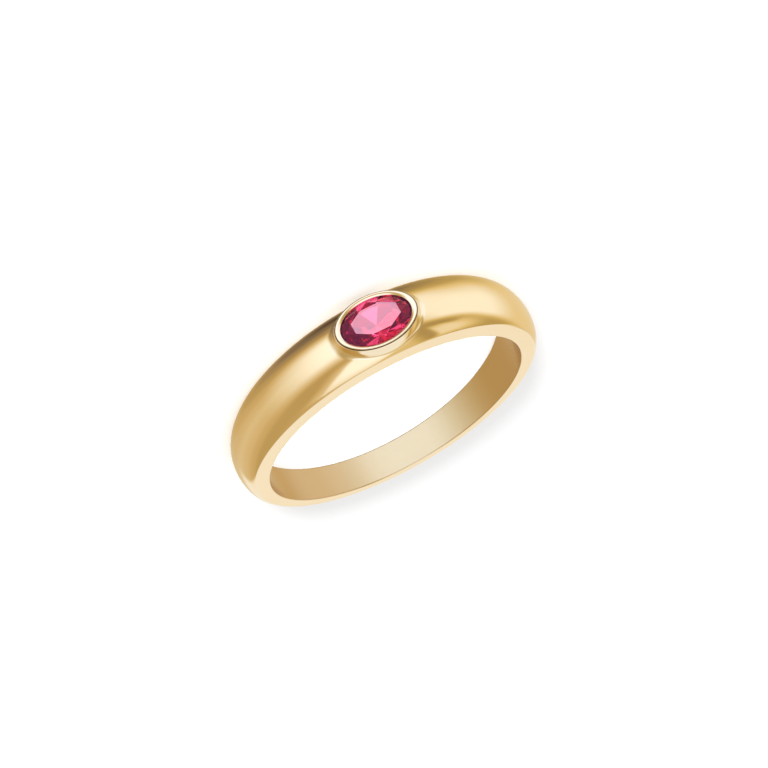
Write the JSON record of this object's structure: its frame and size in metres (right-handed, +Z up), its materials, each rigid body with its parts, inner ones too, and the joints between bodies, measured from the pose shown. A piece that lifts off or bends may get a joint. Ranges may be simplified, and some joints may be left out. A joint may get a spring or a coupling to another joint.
{
  "type": "ruby ring",
  "caption": "Domed gold finger ring that narrows towards the back, with an oval ruby set in a raised collar, lying on its side.",
  "frame": {"origin": "under the middle of the ring's box, on the surface that it lies on", "axes": "+Z up; -Y the way the stone looks; the bore's axis leans 3.2 degrees off +Z, towards +Y"},
  "size_m": [0.02, 0.0206, 0.0041],
  "materials": {
    "gold": "polished yellow gold",
    "ruby": "cut and polished"
  },
  "bodies": {
    "root": {"band": "gold", "ruby": "ruby"}
  },
  "joints": []
}
